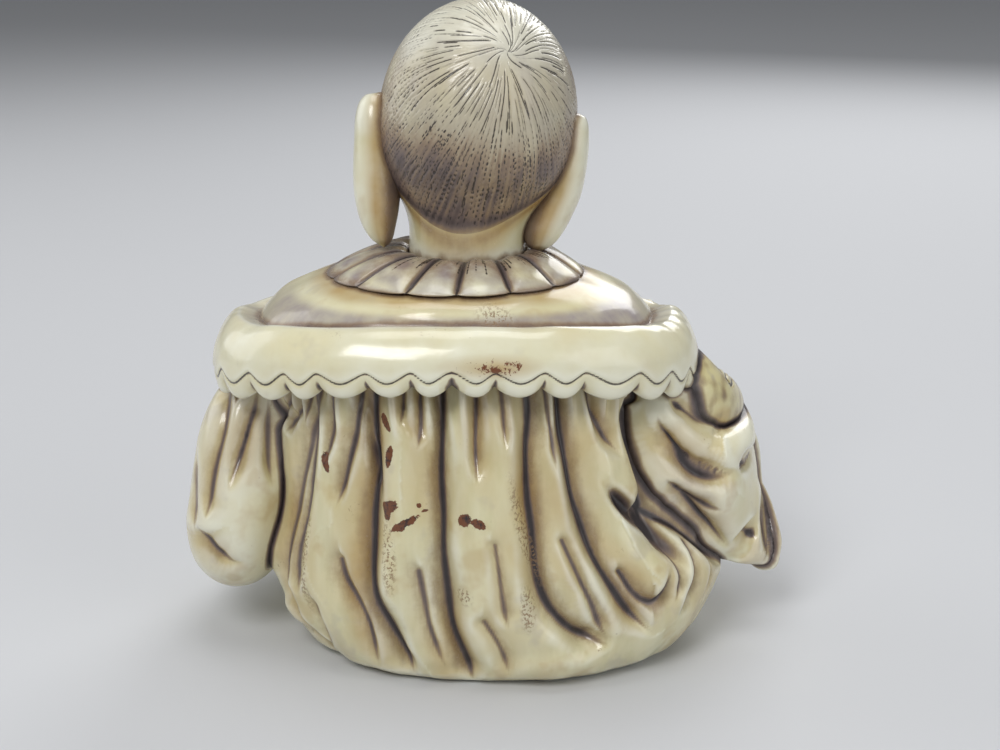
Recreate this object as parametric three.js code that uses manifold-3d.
// Seated monk-like figure in glazed porcelain: cropped hair, long ears, pleated
// ruff, padded scalloped cape and a loose robe in deep folds.
// Millimetres, +Z up, the figure looks along -Y and its back faces +Y.
import * as THREE from "three";
import { mergeVertices } from "three/addons/utils/BufferGeometryUtils.js";
import Module from "manifold-3d";

// Driving sizes: the joints between the castings
const LUTE_GAP = 0.3;
const FACET_ALLOWANCE = 0.6;
const WALL = 5;
const BASE_THICKNESS = 3;
const VENT_RADIUS = 7;

// Driving sizes: the robe, which stands on an oval foot and leans to its left
const ROBE_HEIGHT = 86;
const ROBE_HALF_WIDTH = 52;
const ROBE_BACK = 43;
const ROBE_FRONT = 38;
const ROBE_FOOT_X = -2.5;
const ROBE_LEAN = 9;
const ROBE_SQUARENESS = 2.4;
const FOLD_DEPTH = 3.2;
const FOLD_HALF_WIDTH = 2.8;
const NECK_HOLE_RADIUS = 7;

// Driving sizes: the lap, two knees and the crossed shins under the robe
const LAP_FRONT = 43.5;
const LAP_HEIGHT = 26;
const KNEE_SPACING = 75;
const KNEE_RADIUS = 13.5;
const SHIN_RADIUS = 9.5;

// Driving sizes: the cape with its padded band
const YOKE_COVER = 1;
const YOKE_DROP = 13;
const YOKE_HALF_WIDTH = 45;
const YOKE_BACK = 34;
const YOKE_FRONT = 25;
const BAND_HALF_WIDTH = 54.5;
const BAND_BACK = 40.5;
const BAND_FRONT = 29;
const BAND_HEIGHT = 11.5;
const BAND_THICKNESS = 8;
const BAND_OVERLAP = 6.5;
const BAND_TUCK = 8;
const BAND_TUCK_LEVEL = 0.8;
const BAND_SIDE_DROP = 7.5;
const BAND_SIDE_DIP = 4.5;
const SCALLOP_DEPTH = 1.6;
const SCALLOPS = 36;

// Driving sizes: the ruff
const RUFF_RADIUS = 28.5;
const RUFF_DEPTH_RADIUS = 26.5;
const RUFF_EDGE = 1.6;
const RUFF_RISE = 6;
const RUFF_DROP = 1.2;
const RUFF_BACK_LIFT = 1;
const RUFF_PLEATS = 24;
const PLEAT_DEPTH = 0.9;

// Driving sizes: the head
const NECK_RADIUS = 13;
const NECK_HEIGHT = 12;
const NECK_FLARE = 1.3;
const HEAD_SIDE_SHIFT = 2.6;
const HEAD_FORWARD_SHIFT = 3;
const SKULL_HALF_WIDTH = 21.8;
const SKULL_HALF_DEPTH = 24.5;
const SKULL_HALF_HEIGHT = 25.5;
const SKULL_LIFT = 33;
const HEAD_TILT = 6;
const HEAD_BOW = 12;
const NOSE_LENGTH = 4.2;
const EAR_LENGTH = 35;
const EAR_WIDTH = 13;
const EAR_THICKNESS = 9.5;
const EAR_INSET = 2.7;
const EAR_BULGE = 3;
const LEFT_EAR_CURL = 2;
const RIGHT_EAR_CURL = 4;
const EAR_BACKSET = 2.5;
const EAR_SWEEP = 3;

// Driving sizes: the arms
const LEFT_SLEEVE_RADIUS = 12.5;
const RIGHT_SLEEVE_RADIUS = 13;
const SLEEVE_HANG = 20;
const CUFF_THICKNESS = 3;
const CUFF_REACH = 4;
const SLEEVE_ROLL_RADIUS = 6;
const UNDER_SLEEVE_RADIUS = 9;
const UNDER_SLEEVE_LENGTH = 22;
const WRIST_RADIUS = 5;
const PALM_LENGTH = 15;
const PALM_WIDTH = 14;
const PALM_THICKNESS = 6.5;
const FINGER_RADIUS = 2;
const FINGER_LENGTH = 14;

const wasm = await Module();
wasm.setup();

const far = 200;
const radians = (degrees) => (degrees * Math.PI) / 180;
const mix = (from, to, share) => from + (to - from) * share;
const point = (x, y, z) => new THREE.Vector3(x, y, z);

// Smooth values through rows whose first entry is the place along the outline.
function rowAt(rows, place) {
  const last = rows.length - 2;
  let i = 0;
  while (i < last && place >= rows[i + 1][0]) i += 1;
  const span = rows[i + 1][0] - rows[i][0];
  const t = Math.min(Math.max((place - rows[i][0]) / span, 0), 1);
  const slope = (row, column) => {
    const before = rows[Math.max(row - 1, 0)];
    const after = rows[Math.min(row + 1, rows.length - 1)];
    return ((after[column] - before[column]) / (after[0] - before[0])) * span;
  };
  return rows[i].slice(1).map((value, k) => {
    const column = k + 1;
    const startSlope = slope(i, column);
    const endSlope = slope(i + 1, column);
    return (
      (2 * t ** 3 - 3 * t ** 2 + 1) * value +
      (t ** 3 - 2 * t ** 2 + t) * startSlope +
      (3 * t ** 2 - 2 * t ** 3) * rows[i + 1][column] +
      (t ** 3 - t ** 2) * endSlope
    );
  });
}

// A closed mesh as a solid, with its faces turned outwards.
function solid(geometry) {
  geometry.deleteAttribute("normal");
  geometry.deleteAttribute("uv");
  const merged = mergeVertices(geometry, 1e-4);
  const triVerts = new Uint32Array(merged.index.array);
  const vertProperties = new Float32Array(merged.attributes.position.array);
  const build = () => new wasm.Manifold(new wasm.Mesh({ numProp: 3, vertProperties, triVerts }));
  const made = build();
  if (made.volume() > 0) return made;
  for (let i = 0; i < triVerts.length; i += 3) {
    [triVerts[i], triVerts[i + 1]] = [triVerts[i + 1], triVerts[i]];
  }
  return build();
}

// A drum whose rings are placed by angle, by share of its length and by spread from the axis.
function drum(around, along, place) {
  const geometry = new THREE.CylinderGeometry(1, 1, 1, around, along);
  const p = geometry.attributes.position;
  for (let i = 0; i < p.count; i += 1) {
    const angle = Math.atan2(p.getZ(i), p.getX(i));
    const spread = Math.hypot(p.getX(i), p.getZ(i));
    const spot = place(angle, p.getY(i) + 0.5, spread);
    p.setXYZ(i, spot.x, spot.y, spot.z);
  }
  return solid(geometry);
}

// A closed ring whose section is placed by the angle round the ring and round the section.
function ring(around, across, place) {
  const geometry = new THREE.TorusGeometry(2, 1, across, around);
  const p = geometry.attributes.position;
  for (let i = 0; i < p.count; i += 1) {
    const angle = Math.atan2(p.getY(i), p.getX(i));
    const turn = Math.atan2(p.getZ(i), Math.hypot(p.getX(i), p.getY(i)) - 2);
    const spot = place(angle, turn);
    p.setXYZ(i, spot.x, spot.y, spot.z);
  }
  return solid(geometry);
}

// A ball whose surface is placed by direction.
function ball(around, down, place) {
  const geometry = new THREE.SphereGeometry(1, around, down);
  const p = geometry.attributes.position;
  for (let i = 0; i < p.count; i += 1) {
    const spot = place(point(p.getX(i), p.getZ(i), p.getY(i)));
    p.setXYZ(i, spot.x, spot.y, spot.z);
  }
  return solid(geometry);
}

// A block between two corners.
function block(low, high) {
  const size = high.clone().sub(low);
  const geometry = new THREE.BoxGeometry(size.x, size.y, size.z);
  geometry.translate(...low.clone().add(high).multiplyScalar(0.5).toArray());
  return solid(geometry);
}

// A limb along a smooth path. A station is a point, its width, its hang and how far
// the hanging side splays to the left.
function limbFrame(stations, t) {
  const path = new THREE.CatmullRomCurve3(stations.map(([spot]) => spot), false, "centripetal");
  const rows = stations.map(([, wide, tall, splay = 0], i) => {
    return [i / (stations.length - 1), wide, tall, splay];
  });
  const centre = path.getPoint(t);
  const heading = path.getTangent(t);
  const side = point(1, 0, 0).addScaledVector(heading, -heading.x).normalize();
  const lift = side.clone().cross(heading);
  return { centre, heading, side, lift, sizes: rowAt(rows, t) };
}

function limb(stations, around, along, grow = 0) {
  return drum(around, along, (angle, t, spread) => {
    const { centre, heading, side, lift, sizes } = limbFrame(stations, t);
    const [wide, tall, splay] = sizes;
    const up = Math.sin(angle) * (tall + grow) * spread;
    const out = Math.cos(angle) * (wide + grow) * spread + splay * Math.max(up, 0);
    return centre
      .addScaledVector(side, out)
      .addScaledVector(lift, up)
      .addScaledVector(heading, grow * (2 * t - 1));
  });
}

// A superellipse point at an angle, with its own reach to the back and to the front.
function oval(angle, halfWidth, back, front, squareness) {
  const power = 2 / squareness;
  const c = Math.cos(angle);
  const s = Math.sin(angle);
  const reach = s > 0 ? back : front;
  return [
    halfWidth * Math.sign(c) * Math.abs(c) ** power,
    reach * Math.sign(s) * Math.abs(s) ** power,
  ];
}

// The robe's outline: share of the height, then of the lean, half width, back and front.
const ROBE_OUTLINE = [
  [0, 0, 0.79, 0.84, 0.89],
  [0.035, 0, 0.885, 0.92, 0.97],
  [0.116, 0, 0.975, 0.98, 1],
  [0.256, 0.02, 1.03, 1, 0.95],
  [0.42, 0.39, 0.915, 0.965, 0.82],
  [0.605, 0.72, 0.855, 0.895, 0.71],
  [0.767, 0.94, 0.865, 0.815, 0.605],
  [0.86, 1, 0.78, 0.67, 0.5],
  [0.93, 1, 0.61, 0.52, 0.42],
  [0.977, 0.95, 0.4, 0.37, 0.36],
  [1, 0.83, 0.27, 0.28, 0.31],
];

// The deep folds down the back: angle in degrees and share of the height, from the cape down.
const FOLDS = [
  [[51, 0.73], [40, 0.56], [29, 0.36], [19, 0.2]],
  [[48, 0.66], [44, 0.52], [39, 0.34], [41, 0.14]],
  [[66, 0.76], [60, 0.62], [55, 0.5]],
  [[72, 0.77], [66, 0.55], [63, 0.33], [69, 0.07]],
  [[88, 0.77], [85, 0.5], [82, 0.3], [86, 0.06]],
  [[106, 0.77], [103, 0.52], [98, 0.3], [110, 0.1], [117, 0.07]],
  [[117, 0.77], [115, 0.5], [115, 0.3], [133, 0.11]],
  [[144, 0.72], [141, 0.5], [134, 0.33], [128, 0.28]],
  [[54, 0.28], [60, 0.14], [61, 0.05]],
  [[75, 0.27], [78, 0.14], [81, 0.05]],
  [[-112, 0.7], [-98, 0.5], [-84, 0.36]],
  [[-84, 0.7], [-72, 0.52], [-62, 0.36]],
  [[-58, 0.66], [-50, 0.45], [-45, 0.32]],
  [[-132, 0.66], [-132, 0.46], [-138, 0.3]],
];

// How far the folds sink the robe's surface at a place on it.
function foldSink(angle, z) {
  const turned = (angle * 180) / Math.PI;
  const degrees = turned > 180 ? turned - 360 : turned;
  const share = z / ROBE_HEIGHT;
  let sink = 0;
  for (const fold of FOLDS) {
    const rows = fold.map(([turn, height]) => [1 - height, turn]);
    const top = rows[0][0];
    const bottom = rows[rows.length - 1][0];
    const place = 1 - share;
    const past = Math.max(top - place, place - bottom, 0) * ROBE_HEIGHT;
    const [turn] = rowAt(rows, Math.min(Math.max(place, top), bottom));
    const across = radians(degrees - turn) * ROBE_BACK;
    const away = (across / FOLD_HALF_WIDTH) ** 2 + (past / (2 * FOLD_HALF_WIDTH)) ** 2;
    sink = Math.max(sink, Math.exp(-away));
  }
  return sink * FOLD_DEPTH;
}

// A point of the robe's outside, grown outwards by a clearance or sunk inwards by a wall.
function robePoint(angle, z, grow, folded) {
  const [lean, wide, back, front] = rowAt(ROBE_OUTLINE, z / ROBE_HEIGHT);
  const sink = folded ? foldSink(angle, z) : 0;
  const [x, y] = oval(
    angle,
    ROBE_HALF_WIDTH * wide + grow - sink,
    ROBE_BACK * back + grow - sink,
    ROBE_FRONT * front + grow - sink,
    ROBE_SQUARENESS,
  );
  return point(ROBE_FOOT_X + ROBE_LEAN * lean + x, y, z);
}

// Rings crowd towards the foot and the shoulders, where the outline turns.
const crowded = (t) => t - 0.1 * Math.sin(2 * Math.PI * t);

// Two thirds of the steps round the robe go to its folded back.
function backHeavy(angle) {
  const turn = ((angle / (2 * Math.PI)) % 1 + 1) % 1;
  return turn < 2 / 3 ? turn * 1.5 * Math.PI : Math.PI + (turn - 2 / 3) * 3 * Math.PI;
}

function robeForm(grow, folded, around, along, foot, top) {
  return drum(around, along, (angle, t, spread) => {
    const z = mix(foot, top, crowded(t));
    const inside = Math.min(Math.max(z, 0), ROBE_HEIGHT);
    const edge = robePoint(backHeavy(angle), inside, grow, folded);
    edge.z = z;
    return point(ROBE_FOOT_X + ROBE_LEAN * t, 0, z).lerp(edge, spread);
  });
}

// The robe as the pieces round it see it, with few facets and so a little larger.
const robeKeepOut = robeForm(
  LUTE_GAP + FACET_ALLOWANCE,
  false,
  44,
  18,
  -LUTE_GAP,
  ROBE_HEIGHT + LUTE_GAP,
);

// The cape's yoke lies over the shoulders from the ruff to the band.
const YOKE_OUTLINE = [
  [0, 1, 1, 1],
  [0.315, 0.92, 0.97, 0.96],
  [0.51, 0.845, 0.93, 0.91],
  [0.815, 0.62, 0.8, 0.8],
  [1, 0.38, 0.45, 0.6],
];
const capeCentreX = ROBE_FOOT_X + ROBE_LEAN;
const yokeTop = ROBE_HEIGHT + YOKE_COVER;
const yokeFoot = yokeTop - YOKE_DROP;

function yokeForm(grow) {
  const top = yokeTop + grow;
  const foot = yokeFoot - grow;
  return drum(48, 8, (angle, t, spread) => {
    const z = mix(foot, top, t);
    const [wide, back, front] = rowAt(YOKE_OUTLINE, t);
    const [x, y] = oval(
      angle,
      YOKE_HALF_WIDTH * wide + grow,
      YOKE_BACK * back + grow,
      YOKE_FRONT * front + grow,
      ROBE_SQUARENESS,
    );
    return point(capeCentreX + x * spread, y * spread, z);
  });
}

// The padded band hangs from the yoke's edge; its hem dips at the sides and is scalloped.
const bandTop = yokeFoot + BAND_OVERLAP;

function bandForm(grow) {
  return ring(SCALLOPS * 3, 7, (angle, turn) => {
    const sideways = Math.cos(angle) ** 2;
    const frontal = Math.sin(angle) < 0 ? Math.sin(angle) ** 2 : 0;
    const top = bandTop - BAND_SIDE_DIP * (sideways + frontal) + grow;
    const foot = bandTop - BAND_HEIGHT - BAND_SIDE_DROP * (sideways + frontal) - grow;
    const lower = Math.max(-Math.sin(turn), 0);
    const scallop = SCALLOP_DEPTH * Math.abs(Math.sin((SCALLOPS * angle) / 2)) * lower;
    const tuck = Math.max(-Math.cos(turn), 0);
    const level = mix((1 + Math.sin(turn)) / 2, BAND_TUCK_LEVEL, tuck);
    const z = mix(foot, top, level) - scallop;
    const flare = (BAND_THICKNESS / 2) * (1 - (1 + Math.sin(turn)) / 2);
    const swell = (BAND_THICKNESS / 2 + grow) * Math.cos(turn) - BAND_TUCK * tuck;
    const depth = swell + flare - BAND_THICKNESS * 0.75;
    const [x, y] = oval(
      angle,
      BAND_HALF_WIDTH + depth,
      BAND_BACK + depth,
      BAND_FRONT + depth,
      ROBE_SQUARENESS,
    );
    return point(capeCentreX + x, y, z);
  });
}

// The ruff is a pleated disc that rises to the neck.
const neckX = ROBE_FOOT_X + ROBE_LEAN * 0.72;
const neckY = 1.5;
const ruffEdgeTop = yokeTop - RUFF_DROP;

function ruffForm(grow) {
  const inner = NECK_RADIUS + LUTE_GAP;
  return ring(RUFF_PLEATS * 3, 6, (angle, turn) => {
    const out = (1 + Math.cos(turn)) / 2;
    const wave = Math.cos(RUFF_PLEATS * angle) * out;
    const side = 0.5 * PLEAT_DEPTH * wave + grow * Math.cos(turn);
    const reachX = mix(inner, RUFF_RADIUS, out) + side;
    const reachY = mix(inner, RUFF_DEPTH_RADIUS, out) + side;
    const top = ruffEdgeTop + RUFF_BACK_LIFT * Math.sin(angle) * out + RUFF_RISE * (1 - out);
    const thick = mix(RUFF_RISE, RUFF_EDGE, out) * (0.5 - 0.5 * Math.sin(turn));
    const x = mix(neckX, capeCentreX, out);
    const pleat = (0.5 * PLEAT_DEPTH * wave * (1 + Math.sin(turn))) / 2;
    const z = top - thick + pleat + grow * Math.sin(turn);
    return point(x + reachX * Math.cos(angle), neckY + reachY * Math.sin(angle), z);
  });
}

// The skull in its own frame: the face looks along -Y, the origin is its middle.
function skullPoint(direction, grow) {
  const d = direction;
  const jaw = Math.max(-d.z, 0);
  const face = Math.max(-d.y, 0);
  const narrow = 1 + 0.12 * jaw - 0.3 * jaw ** 3 * face;
  const nape = 1 - 0.12 * jaw ** 2 * (1 - face);
  const width = (SKULL_HALF_WIDTH + grow) * narrow;
  const depth = (SKULL_HALF_DEPTH + grow) * nape;
  const height = SKULL_HALF_HEIGHT + grow;
  const bump = (x, z, wide, tall) => Math.exp(-(((d.x - x) / wide) ** 2) - ((d.z - z) / tall) ** 2);
  const nose = bump(0, -0.2, 0.1, 0.12) + 0.45 * bump(0, 0.02, 0.08, 0.2);
  const brow = 0.26 * (bump(0.34, 0.16, 0.26, 0.07) + bump(-0.34, 0.16, 0.26, 0.07));
  const sockets = 0.33 * (bump(0.34, 0.02, 0.16, 0.09) + bump(-0.34, 0.02, 0.16, 0.09));
  const lips = 0.26 * bump(0, -0.52, 0.2, 0.07);
  const chin = 0.43 * bump(0, -0.82, 0.24, 0.16);
  const relief = NOSE_LENGTH * (nose + brow - sockets + lips + chin) * Math.min(face * 3, 1);
  return point(d.x * width, d.y * depth - relief, d.z * height);
}

const skullCentre = point(
  neckX - HEAD_SIDE_SHIFT,
  neckY - HEAD_FORWARD_SHIFT,
  ROBE_HEIGHT + SKULL_LIFT,
);
const headTurn = new THREE.Matrix4()
  .makeRotationY(radians(-HEAD_TILT))
  .multiply(new THREE.Matrix4().makeRotationX(radians(HEAD_BOW)));

function placedOnHead(spot) {
  return spot.applyMatrix4(headTurn).add(skullCentre);
}

function skullForm(grow, around, down) {
  return ball(around, down, (direction) => placedOnHead(skullPoint(direction, grow)));
}

const neckFoot = ROBE_HEIGHT + LUTE_GAP;

function neckForm(radius, low, high) {
  return drum(28, 3, (angle, t, spread) => {
    const flare = NECK_FLARE * t ** 2;
    const reach = (radius + flare) * spread;
    const lean = (skullCentre.x - neckX) * 0.4 * t;
    const z = mix(low, high, t);
    return point(neckX + lean + reach * Math.cos(angle), neckY + reach * Math.sin(angle), z);
  });
}

const neckHead = neckFoot + NECK_HEIGHT + SKULL_HALF_HEIGHT * 0.6;

function headPiece() {
  const skull = skullForm(0, 32, 22);
  const neck = neckForm(NECK_RADIUS, neckFoot, neckHead);
  const hollow = skullForm(-WALL, 14, 9);
  const boreTop = skullCentre.z;
  const bore = neckForm(NECK_RADIUS - WALL, neckFoot - 1, boreTop);
  return skull.add(neck).subtract(hollow.add(bore));
}

// A long ear: a slab that stands off the skull and hangs free below the jaw.
function earForm(side) {
  return ball(12, 12, (d) => {
    const drop = (1 - d.z) / 2;
    const wide = (EAR_WIDTH / 2) * (1 - 0.35 * drop ** 2);
    const curl = side > 0 ? LEFT_EAR_CURL : RIGHT_EAR_CURL;
    const curve = EAR_BULGE * Math.sin(Math.PI * Math.min(drop * 1.05, 1)) - curl * drop ** 2;
    const x = SKULL_HALF_WIDTH - EAR_INSET + curve + (EAR_THICKNESS / 2) * d.x;
    const y = EAR_BACKSET + wide * d.y - EAR_SWEEP * drop;
    const z = EAR_LENGTH * 0.5 * d.z - EAR_LENGTH * 0.44;
    return placedOnHead(point(side * x, y, z));
  });
}

function earPiece(side) {
  const head = skullForm(LUTE_GAP, 32, 22).add(neckForm(NECK_RADIUS + LUTE_GAP, neckFoot, neckHead));
  const pieces = earForm(side).subtract(head).subtract(ruffForm(LUTE_GAP)).decompose();
  pieces.sort((a, b) => b.volume() - a.volume());
  return pieces[0];
}

// The lap: two knees and the shins that cross between them, flat underneath.
const kneeX = KNEE_SPACING / 2;
const kneeY = KNEE_RADIUS - LAP_FRONT;
const kneeZ = KNEE_RADIUS * 0.9;

function lapForm(grow) {
  const floor = block(point(-far, -far, 0), point(far, far, far));
  const ankleY = SHIN_RADIUS + 1 - LAP_FRONT;
  const leg = (side) => {
    const x = ROBE_FOOT_X + side * kneeX;
    const knee = ball(16, 10, (d) => {
      const reach = KNEE_RADIUS + grow;
      return point(x + d.x * reach, kneeY + d.y * reach, kneeZ + d.z * reach);
    });
    const hip = point(ROBE_FOOT_X + side * kneeX * 0.3, kneeY * 0.3, kneeZ * 1.1);
    const thigh = [
      [hip, KNEE_RADIUS * 1.15, KNEE_RADIUS * 1.1],
      [point(x, kneeY, kneeZ), KNEE_RADIUS * 0.98, KNEE_RADIUS * 0.98],
    ];
    const ankle = point(ROBE_FOOT_X - side * kneeX * 0.35, ankleY, SHIN_RADIUS * (0.9 + side * 0.15));
    const shin = [
      [point(x, kneeY, kneeZ * 0.95), KNEE_RADIUS * 0.9, KNEE_RADIUS * 0.9],
      [ankle, SHIN_RADIUS, SHIN_RADIUS * 0.8],
    ];
    return knee.add(limb(thigh, 16, 3, grow)).add(limb(shin, 16, 4, grow));
  };
  const skirt = ball(24, 8, (d) =>
    point(
      ROBE_FOOT_X + d.x * (kneeX + grow),
      kneeY * 0.8 + d.y * (LAP_FRONT * 0.45 + grow),
      d.z * (LAP_HEIGHT * 0.5 + grow),
    ),
  );
  return leg(1).add(leg(-1)).add(skirt).intersect(floor);
}

// The arms: a shoulder under the cape, an elbow and a wrist.
const besideRobe = (wide, deep, high) =>
  point(ROBE_FOOT_X + ROBE_HALF_WIDTH * wide, ROBE_BACK * deep, ROBE_HEIGHT * high);
const leftWrist = besideRobe(0.971, -0.488, 0.337);
const rightWrist = besideRobe(-0.971, -0.442, 0.547);

const leftSleeve = [
  [besideRobe(0.779, 0.07, 0.74), LEFT_SLEEVE_RADIUS * 0.8, LEFT_SLEEVE_RADIUS * 0.8],
  [besideRobe(1.029, 0.163, 0.581), LEFT_SLEEVE_RADIUS, LEFT_SLEEVE_RADIUS],
  [besideRobe(1.144, 0.186, 0.314), LEFT_SLEEVE_RADIUS * 0.95, LEFT_SLEEVE_RADIUS * 1.15],
  [besideRobe(1.144, -0.186, 0.267), LEFT_SLEEVE_RADIUS * 0.9, LEFT_SLEEVE_RADIUS * 0.95],
  [leftWrist, LEFT_SLEEVE_RADIUS * 0.75, LEFT_SLEEVE_RADIUS * 0.8],
];

// The right sleeve hangs from its rolled-up mouth at the elbow, where the under-sleeve shows.
const rightSleeve = [
  [besideRobe(-0.66, 0.2, 0.68), RIGHT_SLEEVE_RADIUS * 0.9, RIGHT_SLEEVE_RADIUS * 0.9],
  [besideRobe(-0.72, 0.24, 0.55), RIGHT_SLEEVE_RADIUS * 0.96, RIGHT_SLEEVE_RADIUS * 1.04],
  [besideRobe(-0.87, 0.2, 0.45), RIGHT_SLEEVE_RADIUS * 0.92, RIGHT_SLEEVE_RADIUS * 1.15],
  [besideRobe(-0.985, 0, 0.4), RIGHT_SLEEVE_RADIUS * 0.78, SLEEVE_HANG, -0.25],
  [besideRobe(-1.063, -0.163, 0.35), RIGHT_SLEEVE_RADIUS * 0.58, SLEEVE_HANG, -0.42],
];

const sleeveRoll = [
  [besideRobe(-0.66, 0.36, 0.7), SLEEVE_ROLL_RADIUS * 0.7, SLEEVE_ROLL_RADIUS * 0.7],
  [besideRobe(-0.71, 0.43, 0.625), SLEEVE_ROLL_RADIUS * 0.9, SLEEVE_ROLL_RADIUS * 0.9],
  [besideRobe(-0.81, 0.41, 0.555), SLEEVE_ROLL_RADIUS, SLEEVE_ROLL_RADIUS],
  [besideRobe(-0.93, 0.34, 0.52), SLEEVE_ROLL_RADIUS, SLEEVE_ROLL_RADIUS],
  [besideRobe(-1.035, 0.2, 0.53), SLEEVE_ROLL_RADIUS * 0.8, SLEEVE_ROLL_RADIUS * 0.8],
  [besideRobe(-1.08, 0.03, 0.552), SLEEVE_ROLL_RADIUS * 0.58, SLEEVE_ROLL_RADIUS * 0.58],
  [besideRobe(-1.065, -0.186, 0.581), SLEEVE_ROLL_RADIUS * 0.5, SLEEVE_ROLL_RADIUS * 0.5],
];

// A cuff is a rolled lip round a sleeve's mouth.
function cuffForm(stations, grow) {
  return ring(28, 6, (angle, turn) => {
    const { centre, heading, side, lift, sizes } = limbFrame(stations, 1);
    const [wide, tall, splay] = sizes;
    const roll = CUFF_THICKNESS / 2 + grow;
    const out = roll * Math.cos(turn) - CUFF_THICKNESS * 0.2;
    const up = Math.sin(angle) * (tall + out);
    const across = Math.cos(angle) * (wide + out) + splay * Math.max(up, 0);
    return centre
      .addScaledVector(side, across)
      .addScaledVector(lift, up)
      .addScaledVector(heading, CUFF_THICKNESS / 2 + LUTE_GAP + roll * Math.sin(turn));
  });
}

// A hand in its own frame: the wrist at the origin, fingers along -Y, the palm facing down.
function handForm() {
  const palm = ball(12, 8, (d) =>
    point(
      (d.x * PALM_WIDTH) / 2,
      (d.y * PALM_LENGTH) / 1.7 - PALM_LENGTH * 0.5,
      (d.z * PALM_THICKNESS) / 2,
    ),
  );
  const wrist = limb(
    [
      [point(0, 4, 0), WRIST_RADIUS, WRIST_RADIUS],
      [point(0, -4, 0), WRIST_RADIUS * 0.9, PALM_THICKNESS * 0.5],
    ],
    12,
    1,
  );
  let hand = palm.add(wrist);
  const spacing = (PALM_WIDTH - 2 * FINGER_RADIUS) / 3;
  const reach = [0.86, 1, 0.95, 0.76];
  reach.forEach((share, i) => {
    const x = (i - 1.5) * spacing;
    const length = FINGER_LENGTH * share;
    const root = -PALM_LENGTH * 0.75;
    const finger = [
      [point(x, root, 0), FINGER_RADIUS, FINGER_RADIUS],
      [point(x * 1.05, root - length * 0.6, -0.4), FINGER_RADIUS * 0.95, FINGER_RADIUS * 0.95],
      [point(x * 1.05, root - length - 2, -2.6), FINGER_RADIUS * 0.5, FINGER_RADIUS * 0.5],
    ];
    hand = hand.add(limb(finger, 7, 4));
  });
  const thumb = [
    [point(-PALM_WIDTH * 0.25, -PALM_LENGTH * 0.25, -0.5), FINGER_RADIUS * 1.3, FINGER_RADIUS * 1.3],
    [point(-PALM_WIDTH * 0.62, -PALM_LENGTH * 0.65, -1.2), FINGER_RADIUS * 1.15, FINGER_RADIUS],
    [point(-PALM_WIDTH * 0.68, -PALM_LENGTH * 1.05, -1.8), FINGER_RADIUS * 0.6, FINGER_RADIUS * 0.6],
  ];
  return hand.add(limb(thumb, 7, 4));
}

// Turns a hand about X, Y and Z in degrees and carries it to a wrist. The left is mirrored.
function placedHand(side, turn, wrist) {
  const matrix = new THREE.Matrix4()
    .makeTranslation(wrist)
    .multiply(new THREE.Matrix4().makeRotationFromEuler(new THREE.Euler(...turn.map(radians), "ZYX")))
    .multiply(new THREE.Matrix4().makeScale(side, 1, 1));
  return handForm().transform(matrix.elements);
}

const largest = (body) => body.decompose().sort((a, b) => b.volume() - a.volume())[0];

// The castings, cut back from one another by the luting gap.
const yokeKeepOut = yokeForm(LUTE_GAP);
const bandKeepOut = bandForm(LUTE_GAP);
const lapKeepOut = lapForm(LUTE_GAP);
const leftSleeveKeepOut = limb(leftSleeve, 20, 14, LUTE_GAP);
const rightSleeveKeepOut = limb(rightSleeve, 22, 14, LUTE_GAP).add(limb(sleeveRoll, 12, 16, LUTE_GAP));
const leftCuffKeepOut = cuffForm(leftSleeve, LUTE_GAP);
const rightCuffKeepOut = cuffForm(rightSleeve, LUTE_GAP);

const robeSkin = robeForm(0, true, 84, 20, 0, ROBE_HEIGHT);
const robeInside = robeForm(-WALL, false, 30, 9, -1, ROBE_HEIGHT - WALL);
const neckHole = drum(24, 1, (angle, t, spread) =>
  point(
    neckX + NECK_HOLE_RADIUS * spread * Math.cos(angle),
    neckY + NECK_HOLE_RADIUS * spread * Math.sin(angle),
    mix(ROBE_HEIGHT - 2 * WALL, ROBE_HEIGHT + 1, t),
  ),
);
const standing = block(point(-far, -far, BASE_THICKNESS + LUTE_GAP), point(far, far, far));
const behind = block(point(-far, LUTE_GAP / 2, -far), point(far, far, far));
const ahead = block(point(-far, -far, -far), point(far, -LUTE_GAP / 2, far));
const robeWall = robeSkin.subtract(robeInside).subtract(neckHole).intersect(standing);

const vent = drum(24, 1, (angle, t, spread) =>
  point(
    ROBE_FOOT_X + VENT_RADIUS * spread * Math.cos(angle),
    VENT_RADIUS * spread * Math.sin(angle),
    mix(-1, BASE_THICKNESS + 1, t),
  ),
);
const basePlate = robeForm(0, false, 48, 18, 0, ROBE_HEIGHT)
  .intersect(block(point(-far, -far, 0), point(far, far, BASE_THICKNESS)))
  .subtract(vent);

const neckKeepOut = neckForm(NECK_RADIUS + LUTE_GAP, ROBE_HEIGHT - 1, ROBE_HEIGHT + NECK_HEIGHT);
const yokePiece = yokeForm(0).subtract(robeKeepOut).subtract(neckKeepOut);
const ruffPiece = ruffForm(0).subtract(yokeKeepOut).subtract(robeKeepOut);
const bandPiece = bandForm(0).subtract(robeKeepOut).subtract(yokeKeepOut);
const lapPiece = lapForm(0).subtract(robeKeepOut);

const capeKeepOut = robeKeepOut.add(yokeKeepOut).add(bandKeepOut);
const leftSleevePiece = limb(leftSleeve, 20, 14).subtract(capeKeepOut).subtract(lapKeepOut);
const leftCuff = cuffForm(leftSleeve, 0).subtract(lapKeepOut).subtract(capeKeepOut);
const rightCuff = cuffForm(rightSleeve, 0).subtract(capeKeepOut);

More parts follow.
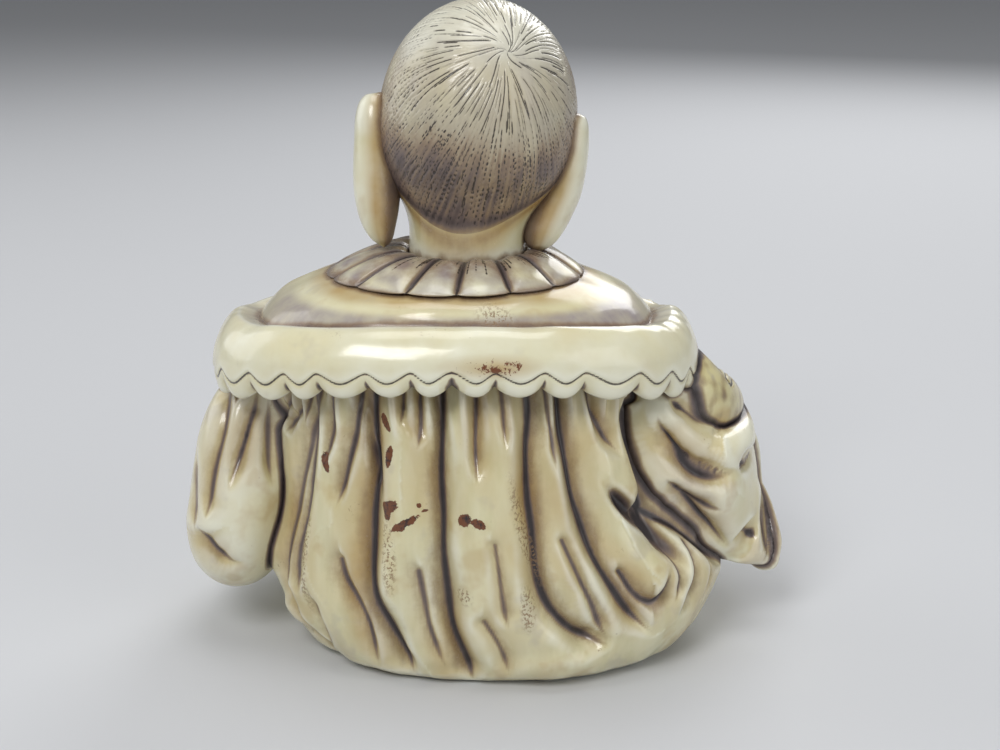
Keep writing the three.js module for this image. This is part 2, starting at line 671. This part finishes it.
const alongForearm = (x, y, z) =>
  rightWrist.clone().addScaledVector(point(x, y, z), UNDER_SLEEVE_LENGTH);
const underSleeve = [
  [besideRobe(-0.7, 0.14, 0.744), UNDER_SLEEVE_RADIUS, UNDER_SLEEVE_RADIUS],
  [besideRobe(-0.825, 0.14, 0.664), UNDER_SLEEVE_RADIUS * 1.05, UNDER_SLEEVE_RADIUS * 1.05],
  [besideRobe(-0.93, -0.047, 0.6), UNDER_SLEEVE_RADIUS, UNDER_SLEEVE_RADIUS],
  [rightWrist, UNDER_SLEEVE_RADIUS * 0.85, UNDER_SLEEVE_RADIUS * 0.85],
  [alongForearm(0.36, -0.36, 0.05), UNDER_SLEEVE_RADIUS * 0.66, UNDER_SLEEVE_RADIUS * 0.66],
];
const underSleevePiece = limb(underSleeve, 18, 14).subtract(rightCuffKeepOut).subtract(capeKeepOut);
const underSleeveKeepOut = limb(underSleeve, 18, 14, LUTE_GAP);
const rightSleevePiece = limb(rightSleeve, 22, 14)
  .add(limb(sleeveRoll, 12, 16))
  .subtract(underSleeveKeepOut)
  .subtract(capeKeepOut)
  .subtract(lapKeepOut);

const rightPalm = alongForearm(0.45, -0.45, 0.05);
const leftPalm = leftWrist.clone().add(point(-CUFF_REACH, -CUFF_REACH, 0));
const leftHand = placedHand(1, [20, 0, -40], leftPalm)
  .subtract(leftSleeveKeepOut)
  .subtract(leftCuffKeepOut)
  .subtract(lapKeepOut)
  .subtract(robeKeepOut);
const rightHand = placedHand(-1, [-52, 0, 24], rightPalm)
  .subtract(underSleeveKeepOut)
  .subtract(rightSleeveKeepOut)
  .subtract(rightCuffKeepOut)
  .subtract(capeKeepOut);

const figure = new THREE.Group();

function addPiece(name, body, color, roughness) {
  const { vertProperties, triVerts, numProp } = largest(body).getMesh();
  const geometry = new THREE.BufferGeometry();
  const count = vertProperties.length / numProp;
  const positions = new Float32Array(count * 3);
  for (let i = 0; i < count; i += 1) {
    positions.set(vertProperties.subarray(i * numProp, i * numProp + 3), i * 3);
  }
  geometry.setAttribute("position", new THREE.BufferAttribute(positions, 3));
  geometry.setIndex(new THREE.BufferAttribute(new Uint32Array(triVerts), 1));
  geometry.computeVertexNormals();
  const material = new THREE.MeshStandardMaterial({ color, roughness, metalness: 0 });
  const mesh = new THREE.Mesh(geometry, material);
  mesh.name = name;
  figure.add(mesh);
}

addPiece("base_plate", basePlate, 0xbfae8a, 0.7);
addPiece("robe_back", robeWall.intersect(behind), 0xcbb988, 0.25);
addPiece("robe_front", robeWall.intersect(ahead), 0xcbb988, 0.25);
addPiece("lap", lapPiece, 0xcbb988, 0.25);
addPiece("sleeve_left", leftSleevePiece, 0xc3b07c, 0.25);
addPiece("sleeve_right", rightSleevePiece, 0xc3b07c, 0.25);
addPiece("cuff_left", leftCuff, 0xd5c79f, 0.25);
addPiece("cuff_right", rightCuff, 0xd5c79f, 0.25);
addPiece("under_sleeve_right", underSleevePiece, 0x9c8f84, 0.3);
addPiece("hand_left", leftHand, 0xddd2b0, 0.25);
addPiece("hand_right", rightHand, 0xddd2b0, 0.25);
addPiece("cape_yoke", yokePiece, 0xd8cba6, 0.2);
addPiece("cape_band", bandPiece, 0xe6e2ce, 0.2);
addPiece("ruff_collar", ruffPiece, 0xd3c7a2, 0.25);
addPiece("head", headPiece(), 0xd8c9a0, 0.25);
addPiece("ear_left", earPiece(1), 0xe0d6b8, 0.25);
addPiece("ear_right", earPiece(-1), 0xe0d6b8, 0.25);

// The origin lies on the ground under the middle of the figure.
const middle = new THREE.Box3().setFromObject(figure).getCenter(new THREE.Vector3());
figure.position.set(-middle.x, -middle.y, 0);

export default figure;
